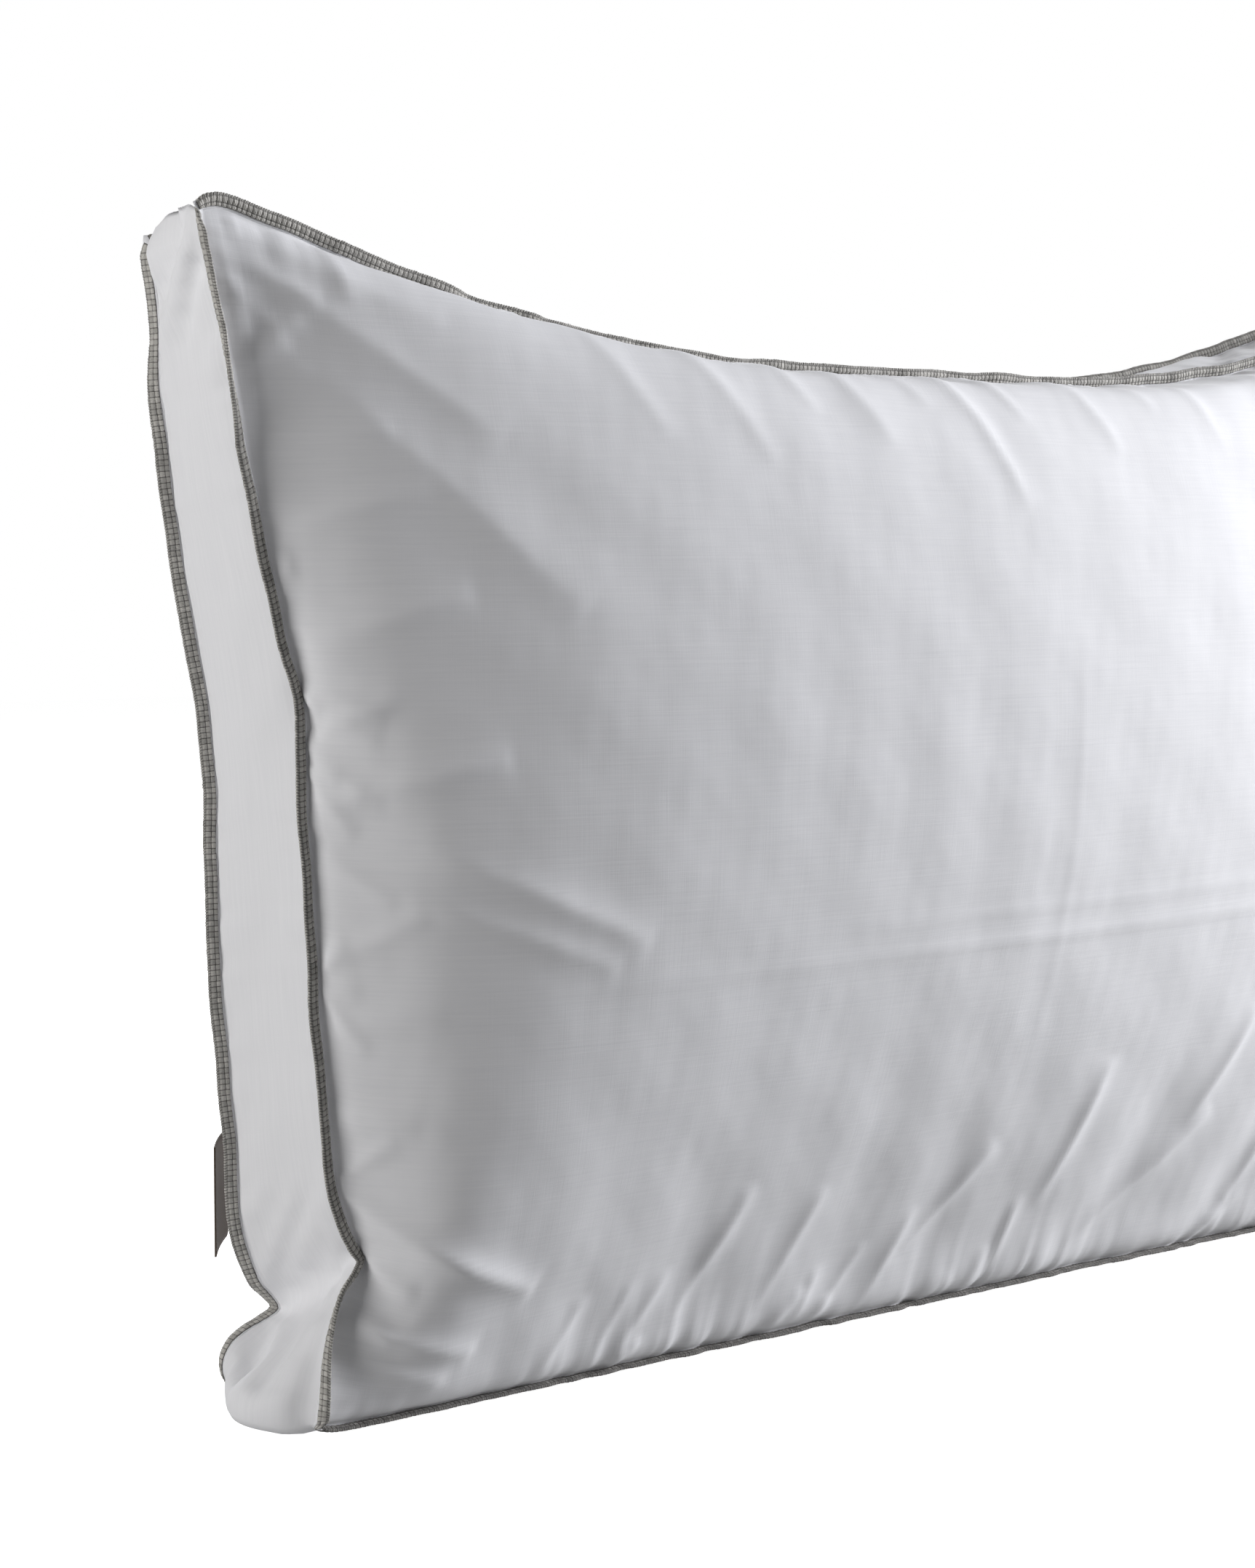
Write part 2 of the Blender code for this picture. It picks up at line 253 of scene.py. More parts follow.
def spanned(loop):
    """A smooth grid of points inside a seam loop."""
    foot, right = loop[: NX + 1], loop[NX : NX + NZ + 1]
    top = loop[NX + NZ : 2 * NX + NZ + 1][::-1]
    left = np.vstack([loop[2 * NX + NZ :], loop[:1]])[::-1]
    u, v = ACROSS[..., None], UPWARD[..., None]
    edges = (1 - v) * foot[:, None] + v * top[:, None] + (1 - u) * left[None] + u * right[None]
    corners = (1 - u) * (1 - v) * foot[0] + u * (1 - v) * foot[-1] + u * v * top[-1]
    return edges - corners - (1 - u) * v * top[0]


def drawn_and_cut(loops):
    """Every point of the cover twice: on a plausible filled shape, and on the flat cut."""
    drawn = [spanned(loop) for loop in loops]
    aside, aloft = np.abs(2 * ACROSS - 1), np.abs(2 * UPWARD - 1)
    swell = SWELL * (1 - aside ** SWELL_ALONG[0]) ** SWELL_ALONG[1]
    swell = swell * (1 - aloft ** SWELL_UP[0]) ** SWELL_UP[1]
    drawn[0][..., 1] -= swell
    drawn[1][..., 1] += swell
    width = np.interp(UPWARD, CUT_SHARES, CUT_SPANS)
    flat = np.stack(
        np.broadcast_arrays((ACROSS - 0.5) * width, -CUT_GUSSET / 2, UPWARD * CUT_HEIGHT), -1
    )
    drawn = [points.reshape(-1, 3) for points in drawn]
    cut = [flat.reshape(-1, 3), (flat * [1, -1, 1]).reshape(-1, 3)]
    rim = cut[0][RIM]
    at_end = np.abs(rim[:, 0]) > 0.45 * CUT_FOOT
    loose = FOOT_EASE * np.exp(-((rim[:, 2] / FOOT_EASE_HEIGHT) ** 2))
    from_top = (CUT_HEIGHT - rim[:, 2]) / CORNER_EASE_HEIGHT
    loose = (loose + CORNER_EASE * np.exp(-(from_top**2))) * at_end
    outward = outline_out(rim) * loose[:, None]
    for column in range(1, NG):
        share = column / NG
        place = loops[0] * (1 - share) + loops[1] * share
        laid = np.clip(1 - place[:, 2] / UNDERSIDE, 0, 1)[:, None]
        bow = GUSSET_BOW * 4 * share * (1 - share)
        place += outline_out(place) * (bow * (1 - laid) + FOOT * laid)
        place[:, 2] = np.maximum(place[:, 2], 0.0)
        drawn.append(place)
        cut.append(rim * (1 - share) + cut[1][RIM] * share + outward * 4 * share * (1 - share))
    drawn, cut = np.vstack(drawn), np.vstack(cut)
    drawn[:, 1] += rng.normal(0, RUFFLE, len(drawn))
    return drawn, cut


def gusset_row(column):
    if column in (0, NG):
        return RIM + (PANEL if column else 0)
    return 2 * PANEL + (column - 1) * ROUND + np.arange(ROUND)


def cover_faces():
    faces = []
    for i in range(NX):
        for j in range(NZ):
            a, b = grid_index(i, j), grid_index(i + 1, j)
            faces.append((a, b, b + 1, a + 1))
            faces.append((PANEL + a + 1, PANEL + b + 1, PANEL + b, PANEL + a))
    for column in range(NG):
        first, second = gusset_row(column).tolist(), gusset_row(column + 1).tolist()
        for k in range(ROUND):
            n = (k + 1) % ROUND
            faces.append((first[n], first[k], second[k], second[n]))
    return faces


def fill_cover(drawn, cut):
    """Sews the flat cut along the drawn seams under pressure, and returns the filled cover's points."""
    mesh = bpy.data.meshes.new("filled")
    mesh.from_pydata(cut.tolist(), [], cover_faces())
    obj = bpy.data.objects.new("filled", mesh)
    bpy.context.scene.collection.objects.link(obj)
    obj.shape_key_add(name="cut")
    key = obj.shape_key_add(name="drawn")
    key.data.foreach_set("co", drawn.astype(np.float32).ravel())
    held = obj.vertex_groups.new(name="held")
    fixed = set(RIM.tolist()) | set((RIM + PANEL).tolist())
    for column in range(1, NG):
        fixed |= set(gusset_row(column)[FOOT_FREE : NX - FOOT_FREE].tolist())
    held.add(sorted(fixed), 1.0, "REPLACE")
    cloth = obj.modifiers.new("fill", "CLOTH")
    given = cloth.settings
    given.quality = 6
    given.mass = POINT_MASS
    given.air_damping = 1
    given.tension_stiffness = TENSION
    given.compression_stiffness = COMPRESSION
    given.shear_stiffness = TENSION * 0.3
    given.bending_stiffness = BENDING
    given.tension_damping = DAMPING
    given.compression_damping = DAMPING
    given.shear_damping = DAMPING
    given.bending_damping = DAMPING * 0.1
    given.vertex_group_mass = "held"
    given.pin_stiffness = 1
    given.use_pressure = True
    given.uniform_pressure_force = PRESSURE
    given.effector_weights.gravity = 0
    cloth.collision_settings.use_collision = False
    cloth.collision_settings.use_self_collision = False
    cloth.point_cache.frame_end = FRAMES
    key.value = 0
    key.keyframe_insert("value", frame=1)
    key.value = 1
    key.keyframe_insert("value", frame=DRAW_FRAMES)
    for number in range(1, FRAMES + 1):
        bpy.context.scene.frame_set(number)
    evaluated = obj.evaluated_get(bpy.context.evaluated_depsgraph_get())
    filled = evaluated.to_mesh()
    points = np.empty(len(filled.vertices) * 3, np.float32)
    filled.vertices.foreach_get("co", points)
    evaluated.to_mesh_clear()
    bpy.context.scene.frame_set(1)
    action = mesh.shape_keys.animation_data.action
    bpy.data.objects.remove(obj, do_unlink=True)
    bpy.data.meshes.remove(mesh)
    if action:
        bpy.data.actions.remove(action)
    return points.reshape(-1, 3).astype(float)


# ---------------- finer cloth


def finer(values, axis, closed=False):
    """The array with FINER samples for each one along an axis, on a Catmull-Rom curve."""
    v = np.moveaxis(values, axis, 0)
    if closed:
        padded = np.concatenate([v[-1:], v, v[:2]])
    else:
        padded = np.concatenate([2 * v[:1] - v[1:2], v, 2 * v[-1:] - v[-2:-1]])
    four = padded[:-3], padded[1:-2], padded[2:-1], padded[3:]
    out = np.stack([between(*four, k / FINER) for k in range(FINER)], 1).reshape(-1, *v.shape[1:])
    if not closed:
        out = np.concatenate([out, v[-1:]])
    return np.moveaxis(out, 0, axis)


def eased(grid, passes):
    """The grid with its inner points drawn toward their neighbours, so that no cell shows as a step."""
    grid = grid.copy()
    for _ in range(passes):
        middle = (grid[:-2, 1:-1] + grid[2:, 1:-1] + grid[1:-1, :-2] + grid[1:-1, 2:]) / 4
        grid[1:-1, 1:-1] = 0.5 * grid[1:-1, 1:-1] + 0.5 * middle
    return grid


def below_seam(grid, facing):
    """The panel held down to its seam at the top and the ends, where the stitching pulls it flat."""
    grid = grid.copy()
    ahead = np.maximum(facing * grid[..., 1] - SEAM_Y, 0)
    left, right = grid[0], grid[-1]
    for edge, sign in ((left, -1), (right, 1)):
        most = np.interp(grid[..., 2], edge[:, 2], edge[:, 0] * sign) + HELD_PAST - END_LEAN * ahead
        x = grid[..., 0] * sign
        held = -soft_floor(-x, -most, HELD_SOFTNESS)
        near = np.clip(1 - (most - x) / HELD_REACH, 0, 1)
        grid[..., 0] = sign * (x + (held - x) * near)
    top = grid[:, -1]
    most = np.interp(grid[..., 0], top[:, 0], top[:, 2]) + HELD_PAST - TOP_LEAN * ahead
    held = -soft_floor(-grid[..., 2], -most, HELD_SOFTNESS)
    near = np.clip(1 - (most - grid[..., 2]) / HELD_REACH, 0, 1)
    grid[..., 2] += (held - grid[..., 2]) * near
    return grid


def grid_normals(grid, closed=False):
    along = np.gradient(grid, axis=0)
    if closed:
        along = np.roll(grid, -1, 0) - np.roll(grid, 1, 0)
    normal = np.cross(along, np.gradient(grid, axis=1))
    return normal / np.maximum(np.linalg.norm(normal, axis=-1, keepdims=True), 1e-12)


def soft_floor(z, lowest, softness=0.0012):
    """z kept above lowest, with a rounded turn in place of a crease."""
    return lowest + softness * np.logaddexp(0, (z - lowest) / softness)


FX, FZ = NX * FINER, NZ * FINER
FINE_ROUND = 2 * (FX + FZ)
FINE_CELL = CELL / FINER


def rim_of(grid):
    """The rim of a fine panel grid, in the order of the seam loop."""
    return np.concatenate([grid[:FX, 0], grid[FX, :FZ], grid[FX:0:-1, FZ], grid[0, FZ:0:-1]])


# ---------------- small folds of the cloth


def fold(at, start, end, wide, high):
    """A ridge along a line across the cut cloth, fading toward its ends."""
    start, end = np.array(start), np.array(end)
    line = end - start
    length = np.linalg.norm(line)
    along = (at - start) @ line / length**2
    off = ((at[..., 0] - start[0]) * line[1] - (at[..., 1] - start[1]) * line[0]) / length
    along = np.clip(along, 0, 1)
    fade = 1.9 * along**0.9 * (1 - along) ** 0.6  # about 1 at its highest, past the middle
    return high * fade * np.exp(-np.abs(off / wide) ** 1.35)


# Folds of the front, as (start, end, width, height) on the cut, from its middle and its foot
CREASES = (
    # from the kink of the left seam
    ((-0.384, 0.118), (-0.266, 0.062), 0.0065, 0.0056),
    ((-0.374, 0.088), (-0.326, 0.068), 0.0045, 0.0034),
    ((-0.364, 0.054), (-0.292, 0.036), 0.0060, 0.0036),
    ((-0.358, 0.038), (-0.305, 0.023), 0.0050, 0.0024),
    # along the left seam
    ((-0.378, 0.338), (-0.305, 0.360), 0.0075, 0.0030),
    ((-0.380, 0.322), (-0.342, 0.310), 0.0035, 0.0020),
    ((-0.378, 0.302), (-0.335, 0.318), 0.0035, 0.0018),
    ((-0.380, 0.273), (-0.290, 0.293), 0.0080, 0.0032),
    ((-0.330, 0.258), (-0.225, 0.214), 0.0070, 0.0030),
    ((-0.350, 0.243), (-0.240, 0.204), 0.0060, 0.0024),
    ((-0.376, 0.254), (-0.338, 0.234), 0.0045, 0.0018),
    ((-0.374, 0.205), (-0.325, 0.229), 0.0050, 0.0020),
    ((-0.374, 0.180), (-0.315, 0.190), 0.0070, 0.0018),
    ((-0.370, 0.150), (-0.310, 0.140), 0.0070, 0.0018),
    ((-0.386, 0.385), (-0.320, 0.402), 0.0060, 0.0020),
    ((-0.390, 0.420), (-0.335, 0.425), 0.0060, 0.0018),
    # from the upper corner
    ((-0.394, 0.514), (-0.305, 0.474), 0.0075, 0.0016),
    ((-0.396, 0.502), (-0.285, 0.424), 0.0085, 0.0022),
    ((-0.400, 0.512), (-0.392, 0.458), 0.0040, 0.0020),
    ((-0.390, 0.470), (-0.255, 0.352), 0.0120, 0.0028),
    # gathers of the top seam
    ((-0.046, 0.505), (-0.002, 0.396), 0.0060, 0.0026),
    ((-0.196, 0.500), (-0.150, 0.415), 0.0065, 0.0018),
    ((-0.246, 0.502), (-0.204, 0.425), 0.0070, 0.0016),
    ((-0.118, 0.505), (-0.078, 0.425), 0.0060, 0.0018),
    ((-0.150, 0.505), (-0.118, 0.440), 0.0045, 0.0014),
    ((-0.080, 0.505), (-0.046, 0.446), 0.0045, 0.0014),
    ((0.040, 0.505), (0.074, 0.425), 0.0055, 0.0016),
    ((0.080, 0.508), (0.112, 0.450), 0.0045, 0.0014),
    ((0.128, 0.505), (0.156, 0.430), 0.0060, 0.0016),
    ((0.220, 0.500), (0.200, 0.420), 0.0070, 0.0022),
    ((-0.014, 0.502), (0.014, 0.440), 0.0040, 0.0016),
    # gathers of the lower seam
    ((-0.175, 0.020), (-0.145, 0.092), 0.0055, 0.0024),
    ((-0.120, 0.018), (-0.098, 0.084), 0.0055, 0.0022),
    ((-0.048, 0.004), (-0.030, 0.062), 0.0045, 0.0020),
    ((-0.030, 0.036), (0.014, 0.092), 0.0060, 0.0026),
    ((0.040, 0.006), (0.047, 0.056), 0.0040, 0.0020),
    ((0.060, 0.048), (0.082, 0.130), 0.0065, 0.0032),
    ((0.095, 0.018), (0.180, 0.090), 0.0080, 0.0036),
    ((0.160, 0.080), (0.196, 0.146), 0.0060, 0.0028),
    ((-0.205, 0.008), (-0.183, 0.054), 0.0045, 0.0018),
    ((-0.250, 0.010), (-0.232, 0.050), 0.0045, 0.0016),
    ((0.215, 0.010), (0.250, 0.090), 0.0060, 0.0026),
    ((0.290, 0.020), (0.330, 0.080), 0.0060, 0.0026),
    # where the cover lay folded
    ((-0.285, 0.196), (0.400, 0.202), 0.0026, 0.0011),
    ((-0.150, 0.212), (0.400, 0.216), 0.0020, 0.0009),
    ((0.020, 0.110), (0.026, 0.330), 0.0030, 0.0004),
)


def creases(at, facing):
    """The folds of one cover. The rear one has the front's, turned end for end and lower."""
    total = 0
    for start, end, wide, high in CREASES:
        if facing == REAR:
            start, end, high = (-start[0], start[1]), (-end[0], end[1]), 0.7 * high
        total = total + fold(at, start, end, wide, high)
    return total


def small_creases(at, seed, count=90):
    """Short seeded folds that fan in from the seams, most of them at the ends."""
    own = np.random.default_rng(seed)
    total = 0
    for _ in range(count):
        share, side = own.uniform(0.04, 0.96), own.choice((-1, 1))
        length, turn = own.uniform(0.016, 0.055), own.uniform(-0.8, 0.8)
        away, aside = length * math.cos(turn), length * math.sin(turn)
        if own.uniform() < 0.55:
            x, z = side * (np.interp(share, CUT_SHARES, CUT_SPANS) / 2 - 0.003), share * CUT_HEIGHT
            start, end = (x, z), (x - side * away, z + aside)
        else:
            x, z = (share - 0.5) * CUT_TOP, CUT_HEIGHT - 0.003 if side > 0 else 0.003
            start, end = (x, z), (x + abs(aside), z - side * away)
        wide, high = own.uniform(0.0033, 0.0056), own.uniform(0.0008, 0.0024)
        total = total + fold(at, start, end, wide, high)
    return total


def waves(at, size, count, seed):
    """Smooth seeded noise over the cut cloth, about 1 high, with features of one size."""
    own = np.random.default_rng(seed)
    total = 0
    for _ in range(count):
        angle = own.uniform(0, 2 * math.pi)
        turns = 2 * math.pi / size * own.uniform(0.6, 1.5)
        way = np.array([math.cos(angle), math.sin(angle)]) * turns
        total = total + np.sin(at @ way + own.uniform(0, 6.3))
    return total / math.sqrt(count)


def seam_puckers(around, inset, seed, reach=0.020):
    """Fine gathers square to a seam, by how far round it and how far in from it a point lies."""
    own = np.random.default_rng(seed)
    total = 0
    for size in PUCKER_SIZES:
        turns = 2 * math.pi / size
        wander = 2.2 * np.sin(around / 0.09 + own.uniform(0, 6.3))
        total = total + size * np.sin(turns * around + wander + own.uniform(0, 6.3) + 26 * inset)
    patches = 0.55 + 0.45 * np.sin(around / 0.037 + own.uniform(0, 6.3))
    depth = np.clip(inset / 0.0015, 0, 1) * np.exp(-inset / reach)
    return PUCKER * total * patches * depth


# ---------------- the finished cloth


def finished_panel(filled, cut, number, facing):
    """One cover's fine grid of points, with its small folds, and the same points on the cut."""
    own = slice(number * PANEL, (number + 1) * PANEL)
    coarse = eased(filled[own].reshape(NX + 1, NZ + 1, 3), PANEL_PASSES)
    flat = cut[own].reshape(NX + 1, NZ + 1, 3)[..., [0, 2]]
    # The belly is rounded off toward the ends, where the simulated cloth rises too squarely.
    from_end = np.minimum(flat[..., 0] - flat[:1, :, 0], flat[-1:, :, 0] - flat[..., 0])
    share = from_end / (from_end + ROUNDED) * (1 + ROUNDED / HALF_LENGTH)
    coarse[..., 1] = facing * (SEAM_Y + (facing * coarse[..., 1] - SEAM_Y) * share)
    inward = DRAWN_IN * (1 - np.exp(-from_end / DRAWN_GROWS)) * np.exp(-from_end / DRAWN_FADES)
    coarse[..., 0] -= inward * np.sign(flat[..., 0])
    grid = finer(finer(coarse, 0), 1)
    rim = grid[[0, -1]].copy(), grid[:, [0, -1]].copy()
    grid = below_seam(grid, facing)
    grid[[0, -1]], grid[:, [0, -1]] = rim
    at = finer(finer(flat, 0), 1)
    normal = grid_normals(grid)
    normal *= math.copysign(1, normal[FX // 2, FZ // 2, 1] * facing)
    edge = np.stack([
        at[..., 0] - at[:1, :, 0], at[-1:, :, 0] - at[..., 0], at[..., 1], CUT_HEIGHT - at[..., 1],
    ])  # fmt: skip
    inset, nearest = edge.min(0), edge.argmin(0)
    around = np.where(nearest < 2, at[..., 1], at[..., 0]) + 2.1 * nearest
    small = seam_puckers(around, inset, 11 + number)
    small += sum(high * waves(at, size, 9, seed + number) for high, size, seed in PANEL_WAVES)
    small += creases(at, facing) + small_creases(at, 61 + number)
    small *= np.clip(inset / RISE, 0, 1)
    grid = grid + normal * small[..., None]
    # Low down it bulges over the flange, which lies flat along the foot.
    low = at[..., 1] / BULGE_HEIGHT
    grid[..., 1] += facing * BULGE * low * np.exp(1 - low)
    grid[..., 2] = np.where(inset > 0.0005, soft_floor(grid[..., 2], OVER_FLANGE), grid[..., 2])
    return grid, at


def finished_band(filled, rims):
    """The gusset's rows of points from the front seam to the rear one, with their small folds."""
    band = np.stack([filled[gusset_row(column)] for column in range(NG + 1)], 1)
    # Up the ends it is eased along the seams, where the simulated strip ripples too much.
    height = band[..., 2:]
    calm = np.clip((height - 0.09) / 0.04, 0, 1) * np.clip((0.45 - height) / 0.04, 0, 1)
    for _ in range(GUSSET_PASSES):
        around = (np.roll(band, 1, 0) + np.roll(band, -1, 0)) / 2
        band[:, 1:-1] += (0.5 * calm * (around - band))[:, 1:-1]
    band = finer(finer(band, 0, closed=True), 1)
    band[:, 0], band[:, -1] = rims
    cells = np.arange(FINE_ROUND), np.arange(band.shape[1])
    around, across = np.meshgrid(cells[0] * FINE_CELL, cells[1] * FINE_CELL, indexing="ij")
    inset = np.minimum(across, CUT_GUSSET - across).clip(0)
    high, size, seed = GUSSET_WAVE
    small = seam_puckers(around, inset, 17, PUCKER_REACH)
    small += high * waves(np.stack([around, across], -1), size, 9, seed)
    small *= np.clip(inset / RISE, 0, 1) * np.clip((band[..., 2] - 0.004) / 0.01, 0, 1)
    normal = grid_normals(band, closed=True)
    normal *= np.sign((normal * outline_out(rims[0])[:, None]).sum(-1, keepdims=True).mean())
    band = band + normal * small[..., None]
    band[..., 2] = np.maximum(band[..., 2], 0.0)
    return band


def filling_points(panels, band):
    """The cover's points drawn inward and eased, so that the filling stays clear of every fold."""
    every = slice(None, None, FINER)
    rows = [grid[every, every].reshape(-1, 3) for grid in panels]
    rows += [band[every, column * FINER] for column in range(1, NG)]
    points, faces = np.vstack(rows), np.array(cover_faces())
    ends = np.concatenate([faces[:, [0, 1]], faces[:, [1, 2]], faces[:, [2, 3]], faces[:, [3, 0]]])
    mesh = bpy.data.meshes.new("core")
    mesh.from_pydata(points.tolist(), [], faces.tolist())
    points -= np.array([v.normal[:] for v in mesh.vertices]) * CORE_INSET
    bpy.data.meshes.remove(mesh)
    count = np.bincount(ends.ravel(), minlength=len(points))[:, None]
    for _ in range(4):
        total = np.zeros_like(points)
        np.add.at(total, ends[:, 0], points[ends[:, 1]])
        np.add.at(total, ends[:, 1], points[ends[:, 0]])
        points = 0.5 * points + 0.5 * total / count
    points[:, 2] = np.maximum(points[:, 2], 0.002)
    return points


# ---------------- pieces


def add_piece(name, points, faces, look, body="pillow", uv=None):
    mesh = bpy.data.meshes.new(name)
    mesh.from_pydata(np.asarray(points, float).tolist(), [], faces)
    if uv is not None:
        layer = mesh.uv_layers.new(name="cut")
        index = np.empty(len(mesh.loops), np.int32)
        mesh.loops.foreach_get("vertex_index", index)
        layer.data.foreach_set("uv", np.asarray(uv, np.float32)[index].ravel())
    mesh.materials.append(look)
    mesh.shade_smooth()
    obj = bpy.data.objects.new(name, mesh)
    bpy.context.scene.collection.objects.link(obj)
    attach(obj, body)
    return obj


def quads(first, second, flip=False):
    """Faces between two closed rows of point numbers."""
    made = []
    for k in range(len(first)):
        n = (k + 1) % len(first)
        face = (first[k], first[n], second[n], second[k])
        made.append(face[::-1] if flip else face)
    return made


def flange_frames(loop, facing):
    """At each point of a seam: the flange's direction and its panel side."""
    out = outline_out(loop)
    for _ in range(3):
        out = out + 0.5 * (np.roll(out, 1, 0) + np.roll(out, -1, 0))
        out /= np.linalg.norm(out, axis=1)[:, None]
    risen = np.clip((loop[:, 2] - FOOT) / FLANGE_FREE, 0, 1)
    laid = 1 - risen * risen * (3 - 2 * risen)
    sway = 0.08 * np.sin(np.arange(len(loop)) / len(loop) * 2 * math.pi * 29 + facing)
    tilt = FLANGE_TILT + (math.pi / 2 - FLANGE_TILT) * laid + sway * (1 - laid)
    at_end = np.arange(len(loop)) > 2 * FX + FZ
    turned = np.clip((loop[:, 2] - TURN_STARTS) / TURN_GROWS, 0, 1)
    turned *= np.clip((TURN_ENDS - loop[:, 2]) / TURN_FADES, 0, 1)
    tilt = tilt + (CORNER_TURN * turned + FOOT_TURN * laid) * at_end
    away = np.array([0, facing, 0.0])
    cos, sin = np.cos(tilt)[:, None], np.sin(tilt)[:, None]
    return out * cos + away * sin, away * cos - out * sin


def add_panel(name, grid, cut, facing, flange, side, look):
    """A cover sheet with its rim turned out into the flange."""
    flip = facing == REAR
    points = grid.reshape(-1, 3)
    uv = cut.reshape(-1, 2)
    index = np.arange(len(points)).reshape(FX + 1, FZ + 1)
    a, b, c, d = index[:-1, :-1], index[1:, :-1], index[1:, 1:], index[:-1, 1:]
    cells = np.stack([a, b, c, d], -1).reshape(-1, 4)
    faces = (cells[:, ::-1] if flip else cells).tolist()
    rim, rim_uv, row = rim_of(grid), rim_of(cut), rim_of(index)
    for reach in (0.0008, FLANGE * 0.5, FLANGE):
        added = rim + flange * reach + side * (CLOTH * 0.6)
        start = len(points)
        points = np.vstack([points, added])
        uv = np.vstack([uv, rim_uv * (1 + reach)])
        new = start + np.arange(FINE_ROUND)
        faces += quads(new.tolist(), row.tolist(), flip)
        row = new
    obj = add_piece(name, points, faces, look, uv=uv)
    thicken(obj)
    return obj


def thicken(obj):
    solid = obj.modifiers.new("thickness", "SOLIDIFY")
    solid.thickness = CLOTH
    solid.offset = -1


def add_gusset(rows, frames, look):
    """The band between the seams, from the front flange to the rear one."""
    (front_flange, front_side), (rear_flange, rear_side) = frames
    before = [
        rows[:, 0] + front_flange * reach - front_side * (CLOTH * 0.6)
        for reach in (FLANGE, FLANGE * 0.5, 0.0008)
    ]
    after = [
        rows[:, -1] + rear_flange * reach - rear_side * (CLOTH * 0.6)
        for reach in (0.0008, FLANGE * 0.5, FLANGE)
    ]
    columns = before + [rows[:, k] for k in range(rows.shape[1])] + after
    points = np.vstack(columns)
    around = np.arange(FINE_ROUND) * FINE_CELL
    uv = [np.stack([around, np.full(FINE_ROUND, k * FINE_CELL)], 1) for k in range(len(columns))]
    faces = []
    for k in range(len(columns) - 1):
        first = (k * FINE_ROUND + np.arange(FINE_ROUND)).tolist()
        second = ((k + 1) * FINE_ROUND + np.arange(FINE_ROUND)).tolist()
        faces += quads(first, second, True)
    obj = add_piece("gusset_band", points, faces, look, uv=np.vstack(uv))
    thicken(obj)
    return obj


# Stations along one stitch as (place, rise of a bundle, rise of a bead)
STATIONS = (
    (0.0, 0.0, 0.0), (0.11, 0.75, 0.8), (0.3, 1.0, 1.0), (0.5, 1.0, 0.1), (0.7, 1.0, 1.0),
    (0.89, 0.75, 0.8),
)  # fmt: skip
# Round the stitching from its inner edge on the gusset side, over the tip, to its inner edge on the
# panel side, as (share of the width, height there, rise of a bundle, rise of a bead)
GUSSET_FACE = (
    (0.00, 0.55, 0.2, 0), (0.05, 0.9, 0.7, 0), (0.22, 1.0, 1.0, 0), (0.38, 1.0, 0.8, 0),
    (0.435, 0.85, 0.1, 0), (0.49, 1.0, 0.8, 0), (0.69, 1.0, 1.0, 0), (0.87, 1.0, 0.85, 0),
    (0.935, 0.85, 0.15, 0.2),
)  # fmt: skip
PANEL_FACE = (
    (0.93, 0.85, 0.1, 0.2), (0.86, 1.0, 0.8, 0), (0.66, 1.05, 1.15, 0), (0.46, 1.0, 0.85, 0),
    (0.38, 0.85, 0.1, 0), (0.30, 1.0, 0.7, 0), (0.12, 1.0, 0.8, 0), (0.00, 0.55, 0.2, 0),
)  # fmt: skip
TIP = ((-0.7, 0.8), (0.0, 1.0), (0.7, 0.8))
INNER_HALF = 0.00040
INNER_END = 0.0047


def stitch_profile():
    """The cross-section, as (reach, offset, outward reach, outward offset, rise, bead, slant)."""
    wide = STITCH_END - STITCH_START
    rows = []
    for share, height, rise, bead in GUSSET_FACE:
        rows.append((STITCH_START + share * wide, -STITCH_HALF * height, 0, -1, rise, bead, 0.0))
    for angle, bead in TIP:
        reach = STITCH_END + STITCH_HALF * math.cos(angle) * 0.9
        offset = STITCH_HALF * math.sin(angle)
        rows.append((reach, offset, math.cos(angle), math.sin(angle), 0.0, bead, 0.25))
    for share, height, rise, bead in PANEL_FACE:
        slant = 0.5 * share
        rows.append((STITCH_START + share * wide, STITCH_HALF * height, 0, 1, rise, bead, slant))
    half, end = INNER_HALF, INNER_END
    for reach, offset in ((STITCH_START, half), (end, half), (end, -half), (STITCH_START, -half)):
        rows.append((reach, offset, 0, 0, 0, 0, 0.0))
    return np.array(rows)


PROFILE = stitch_profile()


